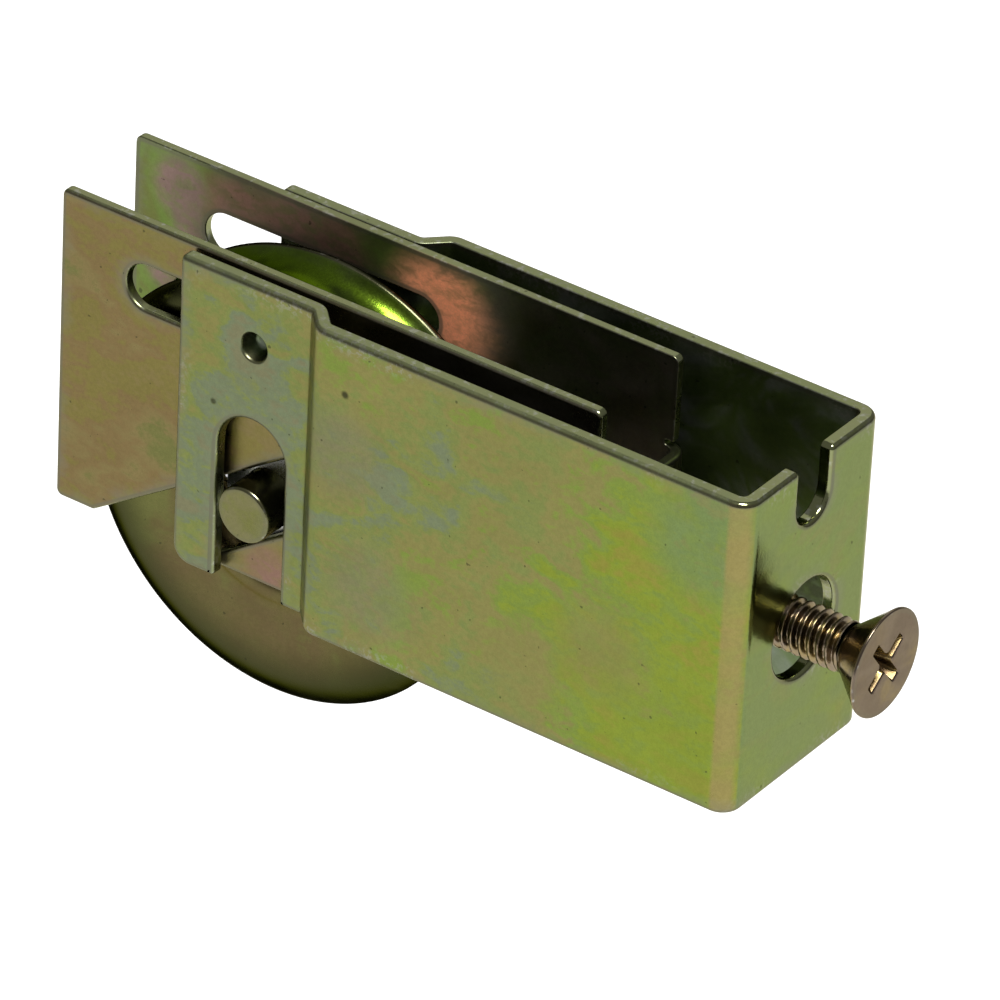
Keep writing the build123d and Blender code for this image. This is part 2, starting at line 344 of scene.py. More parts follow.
def inside(points, loops):
    """Which points lie in the material, by counting how many loop edges a level ray crosses."""
    hits = np.zeros(len(points), int)
    for loop in loops:
        for a, b in zip(loop, np.roll(loop, -1, axis=0)):
            crosses = (a[1] > points[:, 1]) != (b[1] > points[:, 1])
            rise = b[1] - a[1] if b[1] != a[1] else 1e-12
            hits += crosses & (points[:, 0] < a[0] + (points[:, 1] - a[1]) / rise * (b[0] - a[0]))
    return hits % 2 == 1


def distance_to(points, loops):
    """Each point's distance from the nearest loop edge."""
    best = np.full(len(points), 1e9)
    for loop in loops:
        for a, b in zip(loop, np.roll(loop, -1, axis=0)):
            along = b - a
            t = np.clip(((points - a) @ along) / max(along @ along, 1e-12), 0, 1)
            best = np.minimum(best, np.linalg.norm(points - a - t[:, None] * along, axis=1))
    return best


def loop_edges(*counts):
    """Edges round closed loops whose points are numbered one after another."""
    made = []
    for count in counts:
        start = len(made)
        made += [(start + i, start + (i + 1) % count) for i in range(count)]
    return made


def fill(places, edges, loops):
    """Triangles over the material between loops, with the places and origins of their points."""
    found, _, triangles, origins, _, _ = delaunay_2d_cdt(places, edges, [], 0, 1e-7)
    middles = np.array([sum((found[i] for i in t), Vector((0, 0))) / len(t) for t in triangles])
    return [t for t, good in zip(triangles, inside(middles, loops)) if good], found, origins


class FlatSheet:
    """A sheet before it is bent: points (u, v, height over mid-sheet), their normals, and faces."""

    def __init__(self):
        self.points = []
        self.normals = []
        self.faces = []

    def ring(self, points, normals):
        """Adds points and returns their numbers."""
        start = len(self.points)
        self.points += points
        self.normals += normals
        return range(start, len(self.points))

    def cut_edge(self, loop, section):
        """Lays a cut edge's section round a loop and returns its first and last ring."""
        rings = []
        for inset, height, level, outward in section:
            points = [(p.x - n.x * inset, p.y - n.y * inset, height) for p, n in loop]
            rings.append(self.ring(points, [(n.x * outward, n.y * outward, level) for p, n in loop]))
        for a, b in zip(rings, rings[1:]):
            for i in range(len(loop)):
                j = (i + 1) % len(loop)
                self.faces.append((a[i], b[i], b[j], a[j]))
        return rings[0], rings[-1]

    def pressing(self, u, v, section, top):
        """Presses a round form into a face and returns its rim. Its section runs from rim to middle:
        radius, height, and the normal's parts outwards and along the height."""
        rings = []
        for radius, height, radial, level in section:
            round_it = circle(u, v, radius, DIMPLE_SEGMENTS if radius > 0 else 1)
            points = [(p.x, p.y, height) for p, n in round_it]
            rings.append(self.ring(points, [(-radial * n.x, -radial * n.y, level) for p, n in round_it]))
        for a, b in zip(rings, rings[1:]):
            for k in range(DIMPLE_SEGMENTS):
                j = (k + 1) % DIMPLE_SEGMENTS
                face = list(dict.fromkeys((a[k], a[j], b[j % len(b)], b[k % len(b)])))
                self.faces.append(face[::-1] if top else face)
        return rings[0]

    def cap(self, borders, bend, grid_loops, grid_rows, height):
        """Fills a face of the sheet with triangles that don't cross a bend line."""
        loops = [np.array([self.points[i][:2] for i in border]) for border in borders]
        keys = [i for border in borders for i in border]
        places = [Vector(self.points[i][:2]) for i in keys]
        places += bend_points(bend, loops)
        edges = loop_edges(*(len(border) for border in borders)) + bend_edges(bend, places, loops)
        places += face_grid(bend, loops, grid_loops, grid_rows)
        triangles, found, origins = fill(places, edges, loops)
        index = {}
        for i, origin in enumerate(origins):
            boundary = [o for o in origin if o < len(keys)]
            if boundary:
                index[i] = keys[boundary[0]]
        for triangle in triangles:
            for i in triangle:
                if i not in index:
                    index[i] = self.ring([(*found[i], height)], [(0, 0, math.copysign(1, height))])[0]
            face = [index[i] for i in triangle]
            self.faces.append(face if height > 0 else face[::-1])


def edge_section(thickness, rolled, bitten):
    """A cut edge's section, with the outer corner's radius rolled and the inner one's bitten: inset,
    height, and the normal's parts along the height and out of the edge."""
    made = []
    for k in range(ROLLED_STEPS):
        a = math.radians(90) * k / (ROLLED_STEPS - 1)
        height = thickness / 2 - rolled * (1 - math.cos(a))
        made.append((rolled * (1 - math.sin(a)), height, math.cos(a), math.sin(a)))
    for k in range(BITTEN_STEPS):
        a = math.radians(90) * k / (BITTEN_STEPS - 1)
        height = -thickness / 2 + bitten * (1 - math.sin(a))
        made.append((bitten * (1 - math.cos(a)), height, -math.sin(a), math.cos(a)))
    return made


def bend_points(bend, loops):
    """Points along the bend lines of a face, for the wear values."""
    low, high = loops[0][:, 1].min(), loops[0][:, 1].max()
    levels = np.arange(low + BEND_LINE_STEP, high, BEND_LINE_STEP)
    made = np.array([(u, v) for u in bend.lines for v in levels])
    made = made[inside(made, loops)]
    return [Vector(p) for p in made[distance_to(made, loops) > EDGE_CLEARANCE]]


def bend_edges(bend, places, loops):
    """Edges along the bend lines of a face, from one of its points to the next."""
    made = []
    for station in bend.lines:
        on_line = sorted((p.y, i) for i, p in enumerate(places) if abs(p.x - station) < 1e-4)
        for (v_low, i), (v_high, j) in zip(on_line, on_line[1:]):
            if v_high - v_low > 0.05:
                made.append((i, j, station, (v_low + v_high) / 2))
    solid = inside(np.array([edge[2:] for edge in made]), loops)
    return [edge[:2] for edge, good in zip(made, solid) if good]


def face_grid(bend, loops, grid_loops, grid_rows):
    """A loose grid inside a face's flat parts, with rows beside its edges, for the wear values."""
    low, high = loops[0].min(0), loops[0].max(0)
    across, up = (np.arange(low[k], high[k], GRID_STEP) for k in (0, 1))
    grid = [(u, v) for u in across for v in up]
    for row in grid_rows:
        for loop in grid_loops:
            grid += [(p.x - n.x * row, p.y - n.y * row) for p, n in loop]
    grid = np.array(grid)
    grid = grid[inside(grid, loops)]
    off_edge = distance_to(grid, loops) > EDGE_CLEARANCE
    off_bend = np.abs(grid[:, :1] - bend.lines[None, :]).min(axis=1) > EDGE_CLEARANCE
    kept = []
    for u, v in grid[off_edge & off_bend].tolist():
        if all(abs(u - a) + abs(v - b) > GRID_APART for a, b in kept[-GRID_LOOK_BACK:]):
            kept.append((u, v))
    return [Vector(p) for p in kept]


def sheet(
    name, bend, loops, thickness, rolled, bitten, dimples=(), flat_above=math.inf, flat_below=-math.inf
):
    """A bent sheet: an outline and holes cut from flat stock, then bent along its plan. Each dimple is
    (u, v, outer section, inner section). Above and below the two levels, no part of the sheet bends."""
    loops = [split_at(loop, bend.lines) for loop in loops]
    flat = FlatSheet()
    section = edge_section(thickness, rolled, bitten)
    borders = [flat.cut_edge(loop, section) for loop in loops]
    grid_rows = [rolled + row for row in GRID_ROWS_IN]
    for side, height in enumerate((thickness / 2, -thickness / 2)):
        rims = [flat.pressing(u, v, sections[side], side == 0) for u, v, *sections in dimples]
        flat.cap([border[side] for border in borders] + rims, bend, loops, grid_rows, height)

    gaps = distance_to(np.array(flat.points)[:, :2], [np.array([p for p, n in loop]) for loop in loops])
    points, normals, inner, cut = [], [], [], []
    for (u, v, height), (nu, nv, level), gap in zip(flat.points, flat.normals, gaps):
        at_u = bend.on_straight(u) if v > flat_above or v < flat_below else u
        place, out = bend.at(at_u)
        along = np.array([-out[1], out[0]])
        place = place + along * (u - at_u) + out * height
        points.append((place[0], place[1], v))
        direction = along * nu + out * level
        normals.append(Vector((direction[0], direction[1], nv)).normalized())
        inner.append(float(height < -thickness * 0.45))
        cut.append(float(abs(level) < 0.7 and gap < 0.6))
    return finish_mesh(name, points, flat.faces, normals, gaps, inner, cut)


def lathe(name, section, centre, axis_name, segments=96, closed=True, worn=(), shaped=None, hollow=None):
    """A turned part: a section of (place along the axis, radius) points and normals, spun about its axis.
    shaped may give another radius, with its slopes, and hollow says which points lie in a hollow."""
    y, z, x = Vector((0, 1, 0)), Vector((0, 0, 1)), Vector((1, 0, 0))
    axis, e1, e2 = (y, z, x) if axis_name == "Y" else (x, y, z)
    points, normals, gaps, rings, inner = [], [], [], [], []
    for (along, radius), (n_along, n_out) in section:
        count = segments if radius > 1e-6 else 1
        rings.append(range(len(points), len(points) + count))
        gap = min((math.hypot(along - a, radius - r) for a, r in worn), default=5.0)
        for k in range(count):
            a = 2 * math.pi * k / segments
            out = e1 * math.cos(a) + e2 * math.sin(a)
            shape = shaped(along, a) if shaped else None
            if shape:
                r, slope, tilt = shape
                side = e2 * math.cos(a) - e1 * math.sin(a)
                normals.append((out - axis * slope - side * tilt).normalized())
            else:
                r = radius
                normals.append((axis * n_along + out * n_out).normalized())
            points.append(centre + axis * along + out * r)
            gaps.append(gap)
            inner.append(1.0 if hollow and hollow(along, radius) else 0.0)
    faces = []
    pairs = list(zip(rings, rings[1:]))
    if closed:
        pairs.append((rings[-1], rings[0]))
    for a, b in pairs:
        for k in range(segments):
            j = (k + 1) % segments
            face = [a[k % len(a)], b[k % len(b)], b[j % len(b)], a[j % len(a)]]
            faces.append(list(dict.fromkeys(face)))
    return finish_mesh(name, points, faces, normals, gaps, inner)


# ---- materials
def new_material(name):
    material = bpy.data.materials.new(name)
    material.use_nodes = True
    return material, material.node_tree, material.node_tree.nodes["Principled BSDF"]


def link_or_set(tree, socket, value):
    """Gives a socket a number, a colour or another node's output."""
    if isinstance(value, bpy.types.NodeSocket):
        tree.links.new(value, socket)
    else:
        socket.default_value = value


def add(tree, kind, values=None, **settings):
    """A shader node, with its settings and its inputs."""
    made = tree.nodes.new(kind)
    for key, value in settings.items():
        setattr(made, key, value)
    for key, value in (values or {}).items():
        link_or_set(tree, made.inputs[key], value)
    return made


def noise(tree, place, scale, detail=3.0, distortion=0.0, rough=0.5):
    """Noise whose features are about 1 / scale millimetres across."""
    values = {"Vector": place, "Scale": scale, "Detail": detail, "Distortion": distortion, "Roughness": rough}
    return add(tree, "ShaderNodeTexNoise", values).outputs["Fac"]


def spread(tree, value, low, high, out_low=0.0, out_high=1.0):
    """A value taken from one range to another, with smooth ends."""
    values = {"Value": value, "From Min": low, "From Max": high, "To Min": out_low, "To Max": out_high}
    return add(tree, "ShaderNodeMapRange", values, interpolation_type="SMOOTHSTEP").outputs["Result"]


def maths(tree, operation, a, b):
    made = add(tree, "ShaderNodeMath", operation=operation)
    link_or_set(tree, made.inputs[0], a)
    link_or_set(tree, made.inputs[1], b)
    return made.outputs[0]


def product(tree, *values):
    total = values[0]
    for value in values[1:]:
        total = maths(tree, "MULTIPLY", total, value)
    return total


def weighed(tree, *terms):
    """The sum of values, each times its weight."""
    total = 0.0
    for value, weight in terms:
        total = maths(tree, "ADD", maths(tree, "MULTIPLY", value, weight), total)
    return total


def blend(tree, share, under, over):
    """One colour laid over another."""
    made = add(tree, "ShaderNodeMix", {"Factor": share}, data_type="RGBA")
    for key, value in (("A", under), ("B", over)):
        colour = value if isinstance(value, bpy.types.NodeSocket) else (*value, 1.0)
        link_or_set(tree, made.inputs[key], colour)
    return made.outputs["Result"]


def ramp(tree, value, tints, start=0.0, end=1.0):
    """Evenly spaced colours by value."""
    made = add(tree, "ShaderNodeValToRGB", {"Fac": value})
    stops = made.color_ramp
    stops.interpolation = "EASE"
    while len(stops.elements) < len(tints):
        stops.elements.new(0.5)
    for i, (element, tint) in enumerate(zip(stops.elements, tints)):
        element.position = start + (end - start) * i / (len(tints) - 1)
        element.color = (*tint, 1.0)
    return made.outputs["Color"]


def region(tree, at, middle, radius, soft):
    """1 within a radius of a place on the object, in millimetres, falling to 0 over a soft border."""
    away = add(tree, "ShaderNodeVectorMath", {0: at, 1: middle}, operation="DISTANCE").outputs["Value"]
    return spread(tree, away, radius + soft, radius)


def surface_values(tree, seed):
    """What a plated material is made from: places in millimetres, noises and the mesh's wear values."""
    where = add(tree, "ShaderNodeTexCoord").outputs["Object"]
    scaled = add(tree, "ShaderNodeVectorMath", {0: where}, operation="SCALE")
    scaled.inputs["Scale"].default_value = 1 / MM
    at = scaled.outputs[0]
    place = add(tree, "ShaderNodeVectorMath", {0: at, 1: (seed, seed * 0.7, -seed)}).outputs[0]
    # The film ran down at a slant while it dried, so its streaks are longer that way
    slant = add(tree, "ShaderNodeMapping", {"Vector": place, "Rotation": STREAK_TURN, "Scale": STREAK_SQUASH})
    slant = slant.outputs[0]
    wear = {}
    for key in ("edge_gap", "inner", "cut"):
        wear[key] = add(tree, "ShaderNodeAttribute", attribute_name=key).outputs["Fac"]
    return SimpleNamespace(
        at=at, place=place, x=add(tree, "ShaderNodeSeparateXYZ", {0: at}).outputs["X"],
        clouds=noise(tree, place, 0.075, 2.0, 0.6), patches=noise(tree, slant, 0.17, 3.0, 0.6),
        freckles=noise(tree, slant, 0.62, 3.0, 0.4, 0.55), speckle=noise(tree, place, 2.6, rough=0.6),
        fine=noise(tree, place, 7.0, 2.0, rough=0.6), gap=wear["edge_gap"], inner=wear["inner"],
        outer=maths(tree, "SUBTRACT", 1.0, wear["inner"]), cut=wear["cut"],
    )


def film_colour(tree, on, tints, mottle, across, inner_tints):
    """The film's colour by its thickness, with other colours on the sheet's inner side."""
    film = weighed(tree, (on.clouds, 1.0 - mottle), (on.patches, mottle * 0.62), (on.freckles, mottle * 0.38))
    film = weighed(tree, (film, 1.0), (on.speckle, 0.05), (0.5, -0.05))
    film = spread(tree, film, 0.34, 0.66)
    if across:
        gradient = spread(tree, on.x, *across, -0.22, 0.26)
        film = weighed(tree, (film, 0.72), (gradient, 1.0), (0.14, 1.0))
    colour = ramp(tree, film, tints)
    if inner_tints:
        swirl = noise(tree, on.place, 0.13, 3.0, 1.2)
        colour = blend(tree, on.inner, colour, ramp(tree, swirl, inner_tints, 0.28, 0.72))
    return colour


def stained(tree, on, colour, stains, inner_stains_and_painted_light, strips):
    """Patches of other film colours, painted shade and a painted glow, on the outer side, on the inner side
    and in bands across x.
    """
    for side, spots in ((on.outer, stains), (on.inner, inner_stains_and_painted_light)):
        for middle, radius, soft, stain_and_painted_light, share in spots:
            ragged = spread(tree, on.freckles, 0.35, 0.60, 0.55, 1.0)
            spot = product(tree, region(tree, on.at, middle, radius, soft), share, ragged, side)
            colour = blend(tree, spot, colour, stain_and_painted_light)
    for start, end, soft, stain_and_painted_light, share in strips:
        ragged = spread(tree, on.patches, 0.30, 0.60, share * 0.6, share)
        past_start, before_end = spread(tree, on.x, start - soft, start), spread(tree, on.x, end + soft, end)
        colour = blend(tree, product(tree, past_start, before_end, ragged), colour, stain_and_painted_light)
    return colour


def edge_colours(tree, on, colour, rubbed, lilac, painted_rim_shade, scuffs):
    """The film near the edges: darkened towards the worn edge by painted shade where that is given, lilac
    where it is thin, pale on the cut itself, scuffed in places and rubbed off right on the edge."""
    if painted_rim_shade:
        # Painted shade: the film darkens towards the worn edge
        start, end, rim_shade_colour = painted_rim_shade
        colour = blend(tree, product(tree, spread(tree, on.gap, start, end), on.outer), colour, rim_shade_colour)
    ragged = weighed(tree, (on.gap, 1.0), (on.freckles, 1.6), (0.5, -1.6))
    thin = spread(tree, on.patches, 0.40, 0.62, 0.15, 1.0)
    colour = blend(tree, product(tree, spread(tree, ragged, 1.5, 0.2), thin, lilac), colour, LILAC)
    off_cut = maths(tree, "SUBTRACT", 1.0, on.cut)
    rolled = product(tree, spread(tree, on.gap, 0.52, 0.30), off_cut, lilac * 1.6)
    colour = blend(tree, rolled, colour, ROLLED_TINT)
    colour = blend(tree, product(tree, on.cut, 0.85), colour, CUT_TINT)
    if scuffs:
        beside = product(tree, spread(tree, on.gap, 1.7, 0.5), spread(tree, on.clouds, 0.50, 0.58))
        scuffed = product(tree, beside, spread(tree, on.speckle, 0.52, 0.60, 0.0, scuffs))
        colour = blend(tree, scuffed, colour, SCUFF)
    return blend(tree, rubbed, colour, BARE_ZINC)


def plated(
    name, tints, rough=0.35, seed=0.0, mottle=0.5, grain=0.5, lilac=0.4, wear=0.6, tone=1.0, scuffs=0.0,
    across=None, polished=None, inner_tints=None, inner_gloss=0.0, stains=(), inner_stains_and_painted_light=(), strips=(),
    blurred=(), painted_rim_shade=None, grazing=(0.72, 0.70, 0.58),
):
    """Zinc plate with a yellow chromate film: tints run from its thin places to its thick ones.

    across is (thin place, thick place) along x, and polished is (x from, x to, roughness). The inner ones
    are for the sheet's inner side, where inner_gloss adds roughness. A stain is (place, radius, soft
    border, colour, share), a strip is (x from, x to, soft border, colour, share), and a blurred place is
    (place, radius, soft border, added roughness); some stains and strips are painted shade, and some a
    painted glow. The painted rim shade (gap from, gap to, colour) darkens the film towards a worn edge.
    lilac, wear and scuffs are the strengths of the edges' colours."""
    material, tree, shader = new_material(name)
    on = surface_values(tree, seed)

    colour = film_colour(tree, on, tints, mottle, across, inner_tints)
    colour = stained(tree, on, colour, stains, inner_stains_and_painted_light, strips)
    shade = weighed(tree, (on.fine, 0.5), (on.speckle, 0.5))
    toned = add(tree, "ShaderNodeVectorMath", {0: colour}, operation="SCALE")
    tree.links.new(spread(tree, shade, 0.35, 0.65, 0.93 * tone, 1.07 * tone), toned.inputs["Scale"])
    bare = spread(tree, noise(tree, on.place, 1.6, 4.0), 0.54, 0.68)
    rubbed = product(tree, spread(tree, on.gap, 0.22, 0.04), bare, wear)
    colour = edge_colours(tree, on, toned.outputs[0], rubbed, lilac, painted_rim_shade, scuffs)
    pits = spread(tree, noise(tree, on.place, 1.9, 1.0, rough=0.3), 0.77, 0.81)
    tree.links.new(blend(tree, product(tree, pits, 0.6), colour, PIT), shader.inputs["Base Color"])

    gloss = spread(tree, on.patches, 0.3, 0.7, rough - 0.04, rough + 0.05)
    gloss = weighed(tree, (on.fine, 0.12), (gloss, 1.0), (0.5, -0.12))
    if polished:
        start, end, polish = polished
        gloss = weighed(tree, (gloss, 1.0), (spread(tree, on.x, start, end), polish - rough))
    gloss = weighed(tree, (gloss, 1.0), (on.inner, inner_gloss), (rubbed, -0.06), (on.cut, -0.04))
    for *where, extra in blurred:
        gloss = weighed(tree, (gloss, 1.0), (region(tree, on.at, *where), extra))
    tree.links.new(gloss, shader.inputs["Roughness"])
    shader.inputs["Metallic"].default_value = 1.0
    shader.inputs["Specular Tint"].default_value = (*grazing, 1.0)

    # Relief: slow waves in the sheet, orange peel in the plate, and fine grain
    waves, peel = noise(tree, on.place, 0.16, 2.0), noise(tree, on.place, 1.1)
    relief = None
    for height, depth in ((waves, 0.06), (peel, 0.018 * grain), (on.fine, 0.008 * grain)):
        values = {"Height": height, "Strength": 1.0, "Distance": depth * MM}
        if relief:
            values["Normal"] = relief
        relief = add(tree, "ShaderNodeBump", values).outputs[0]
    tree.links.new(relief, shader.inputs["Normal"])
    return material


STREAK_TURN = (0.0, math.radians(-35), 0.0)
STREAK_SQUASH = (1.0, 1.0, 1.8)
LILAC = (0.160, 0.156, 0.116)
ROLLED_TINT = (0.112, 0.108, 0.076)
CUT_TINT = (0.200, 0.220, 0.110)
BARE_ZINC = (0.42, 0.42, 0.40)
SCUFF = (0.240, 0.235, 0.200)
PIT = (0.03, 0.03, 0.015)

# Film colours
DOVE = (0.148, 0.146, 0.080)
SAGE = (0.132, 0.157, 0.088)
TEAL = (0.130, 0.180, 0.072)
GREEN = (0.148, 0.198, 0.040)
OLIVE = (0.150, 0.174, 0.052)
CLAY = (0.180, 0.168, 0.056)
LIME = (0.168, 0.212, 0.028)
GOLD = (0.198, 0.192, 0.036)
ROSE = (0.216, 0.178, 0.064)
END_GREEN = (0.134, 0.172, 0.066)
SHADE = (0.050, 0.055, 0.030)
TAN = (0.165, 0.118, 0.050)
SAND = (0.172, 0.135, 0.055)
OCHRE = (0.160, 0.135, 0.042)
MOSS = (0.126, 0.128, 0.042)
AXLE_OLIVE = (0.140, 0.132, 0.058)
PINK = (0.200, 0.135, 0.115)
BLUSH = (0.195, 0.115, 0.085)
LEAF = (0.130, 0.185, 0.045)
BOTTLE = (0.090, 0.130, 0.035)
RUST = (0.290, 0.160, 0.130)
# Painted light: a bright copper glow for the far plate's inner face
PAINTED_COPPER_GLOW = (1.000, 0.500, 0.290)
# The tread's green, darkened with painted shade
SHADED_DEEP_GREEN = (0.042, 0.062, 0.012)
GLASS_GREEN = (0.085, 0.140, 0.010)
# Painted shade for the wheel's flanks near their crests
PAINTED_RIM_SHADE_TINT = (0.036, 0.038, 0.015)
BRONZE = (0.120, 0.100, 0.040)
UMBER = (0.122, 0.094, 0.042)
BRASS = (0.262, 0.196, 0.080)
RECESS_BROWN = (0.120, 0.078, 0.045)
# Painted shade: a darker tint for the screw head's end face
HEAD_ROSE_PAINTED_SHADE = (0.120, 0.088, 0.068)
COAL = (0.140, 0.122, 0.100)
MAUVE = (0.200, 0.158, 0.115)
NIGHT = (0.180, 0.200, 0.165)
RACE_GREY = (0.4, 0.4, 0.4)
RACE_PALE = (0.5, 0.5, 0.49)
BALL_GREY = (0.5, 0.5, 0.5)
BALL_PALE = (0.58, 0.58, 0.57)

WALL_Y = housing_low.y
EAR_Y = -EAR_OUTER_WIDTH / 2
FAR_WALL_Y = housing_high.y - HOUSING_SHEET
FAR_PLATE_Y = carriage_high.y - CARRIAGE_SHEET


def spots(y, *rows):
    """Stains, painted shade, painted glow or blurred places on a face at y, each given as (x, z, radius, soft
    border, ...).
    """
    return [((x, y, z), *rest) for x, z, *rest in rows]


housing_plate = plated(
    "housing_plate", (DOVE, SAGE, OLIVE, CLAY, GREEN, LIME, GOLD), rough=0.36, seed=3.0, wear=0.35,
    scuffs=0.45, across=(-42.0, -8.0), polished=(-2.4, -0.9, 0.16), inner_tints=(NIGHT, BOTTLE, NIGHT),
    inner_gloss=0.06,
    stains=spots(
        WALL_Y,
        (-3.5, 3.5, 2.0, 5.0, TEAL, 0.8),
        (-36.0, -2.0, 1.5, 4.0, DOVE, 0.8),
        (-33.0, -13.0, 1.5, 4.5, DOVE, 0.7),
        (-12.0, -9.5, 1.5, 4.5, CLAY, 0.8),
        (-19.0, -13.5, 1.0, 4.5, CLAY, 0.8),
        (-6.0, -14.0, 2.5, 6.0, LIME, 0.6),
        (-35.9, 3.3, 0.15, 0.3, PIT, 0.9),
    ) + spots(EAR_Y, (-46.4, 0.4, 0.9, 1.6, DOVE, 0.3), (-49.3, -3.5, 0.12, 0.25, PIT, 0.9)),
    # Painted shade on the far wall's inner face, where the screw hole looks into the housing
    inner_stains_and_painted_light=spots(FAR_WALL_Y, (-3.5, -8.0, 3.0, 3.0, SHADE, 0.9)),
    strips=((-1.45, -0.40, 0.45, ROSE, 0.9), (-0.04, 3.0, 0.08, END_GREEN, 0.95)),
)
carriage_plate = plated(
    "carriage_plate", (MOSS, SAND, TAN, OCHRE, SAND), rough=0.32, seed=21.0, wear=0.35, tone=0.94,
    inner_tints=(BOTTLE, LEAF, MOSS, BOTTLE), inner_gloss=0.06,
    stains=spots(carriage_low.y, (-44.8, -17.6, 0.8, 2.2, BLUSH, 1.0)),
    inner_stains_and_painted_light=spots(
        FAR_PLATE_Y,
        (-61.4, 5.2, 1.6, 1.8, PINK, 1.0),
        (-60.3, 2.2, 0.8, 1.6, PINK, 0.9),
        (-62.5, -2.2, 1.2, 1.6, PINK, 1.0),
        (-56.0, 5.6, 1.2, 3.0, RUST, 0.9),
        (-49.0, 5.4, 3.0, 4.0, RUST, 0.9),
        (-42.7, 7.2, 0.8, 2.0, LEAF, 0.8),
        # The three copper patches are a painted glow of light thrown from the wheel's tread
        (-38.6, 5.0, 0.8, 3.6, PAINTED_COPPER_GLOW, 0.9),
        (-36.0, 4.4, 1.4, 4.0, PAINTED_COPPER_GLOW, 1.0),
        (-33.6, 2.6, 1.0, 3.4, PAINTED_COPPER_GLOW, 1.0),
    ),
    # The second strip is painted shade on the web
    strips=((-31.0, -15.0, 4.0, COAL, 0.9), (-15.4, -13.0, 0.5, SHADE, 0.85)),
    blurred=spots(FAR_PLATE_Y, (-36.5, 4.6, 2.4, 5.5, 0.50), (-48.0, 5.5, 3.0, 6.0, 0.18)),
)
# Painted shade darkens the wheel's flanks towards their crests
wheel_plate = plated(
    "wheel_plate", (MOSS, BRONZE, UMBER, MOSS), rough=0.28, mottle=0.35, seed=47.0, tone=0.85, lilac=0.12,
    # The tread's inner tints are the film's green, darkened as painted shade
    wear=0.3, inner_tints=(SHADED_DEEP_GREEN, GLASS_GREEN, SHADED_DEEP_GREEN), inner_gloss=-0.06, painted_rim_shade=(5.6, 1.6, PAINTED_RIM_SHADE_TINT),
    grazing=(0.16, 0.16, 0.10),
)
screw_plate = plated(
    "screw_steel", (BRASS, MAUVE, BRASS), rough=0.20, seed=63.0, lilac=0.1,
    inner_tints=(RECESS_BROWN, BRASS, RECESS_BROWN), inner_gloss=0.10,
    # The head's end face is tinted darker than the rest of the screw as painted shade
    strips=((SCREW_FACE_X - 0.1, SCREW_FACE_X, 0.1, HEAD_ROSE_PAINTED_SHADE, 1.0),),
)
axle_plate = plated("axle_steel", (MOSS, AXLE_OLIVE, MOSS, SAND), rough=0.24, seed=80.0, lilac=0.2)
race_plate = plated("race_steel", (RACE_GREY, RACE_PALE), rough=0.25, seed=95.0, lilac=0.0)
ball_steel = plated("ball_steel", (BALL_GREY, BALL_PALE), rough=0.12, seed=99.0, lilac=0.0, grain=0.1)


def place_piece(piece, material, body, slot, *nodes):
    """Gives a piece its material and its body, and hides the CAD nodes that it stands for. Its slot is not
    used.
    """
    piece.data.materials.append(material)
    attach(piece, body)
    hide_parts(*nodes)


# ---- housing
wall_mid_y = (housing_high.y - housing_low.y - HOUSING_SHEET) / 2
ear_mid_y = (EAR_OUTER_WIDTH - HOUSING_SHEET) / 2
near_plan = [
    (EAR_END_X, -ear_mid_y, 0),
    (JOG_END_X, -ear_mid_y, JOG_FILLET_R),
    (JOG_START_X, -wall_mid_y, JOG_FILLET_R),
    (END_FACE_X - HOUSING_SHEET / 2, -wall_mid_y, HOUSING_BEND_R - HOUSING_SHEET / 2),
]
housing_bend = Bend(near_plan + [(x, -y, r) for x, y, r in reversed(near_plan)])

ear_slot_u = AXLE_X - EAR_END_X
ear_slot_r = EAR_SLOT_WIDTH / 2
notch_r = NOTCH_WIDTH / 2
middle_u = housing_bend.length / 2
near_half = [
    (middle_u - notch_r, TOP_Z - NOTCH_DEPTH, notch_r * ROUND_END),
    (middle_u - notch_r, TOP_Z, NOTCH_LIP_R),
    (0, TOP_Z, EAR_TOP_CORNER_R),
    (0, BOTTOM_Z, EAR_CORNER_R),
    (ear_slot_u - ear_slot_r, BOTTOM_Z, EAR_SLOT_MOUTH_R),
    (ear_slot_u - ear_slot_r, EAR_SLOT_TOP_Z, ear_slot_r * ROUND_END),
    (ear_slot_u + ear_slot_r, EAR_SLOT_TOP_Z, ear_slot_r * ROUND_END),
    (ear_slot_u + ear_slot_r, BOTTOM_Z, EAR_SLOT_MOUTH_R),
]
housing_outline = rounded(near_half + mirrored(near_half, housing_bend.length))
screw_hole = circle(middle_u, SCREW_Z, SCREW_HOLE_R, 64)

# The dimple's two sides, as rows for FlatSheet.pressing
outer_face = HOUSING_SHEET / 2
inner_peak = -HOUSING_SHEET / 2 - DIMPLE_REACH
dimple_hollow = [
    (1.42, outer_face, 0.0, 1.0),
    (1.32, outer_face - 0.03, -0.5, 0.87),
    (1.22, outer_face - 0.12, -0.87, 0.5),
    (1.16, outer_face - 0.28, -0.97, 0.2),
    (0.84, outer_face - 1.28, -0.94, 0.33),
    (0.74, outer_face - 1.42, -0.6, 0.8),
    (0.55, outer_face - 1.5, -0.2, 0.98),
    (0.0, outer_face - 1.52, 0.0, 1.0),
]
dimple_boss = [
    (1.75, -outer_face, 0.0, -1.0),
    (1.62, -outer_face - 0.04, 0.6, -0.8),
    (1.55, -outer_face - 0.16, 0.95, -0.3),
    (1.36, inner_peak + 0.2, 0.95, -0.3),
    (1.26, inner_peak + 0.05, 0.6, -0.8),
    (1.1, inner_peak, 0.1, -0.99),
    (0.0, inner_peak, 0.0, -1.0),
]
dimples = [(u, DIMPLE_Z, dimple_hollow, dimple_boss) for u in (ear_slot_u, housing_bend.length - ear_slot_u)]
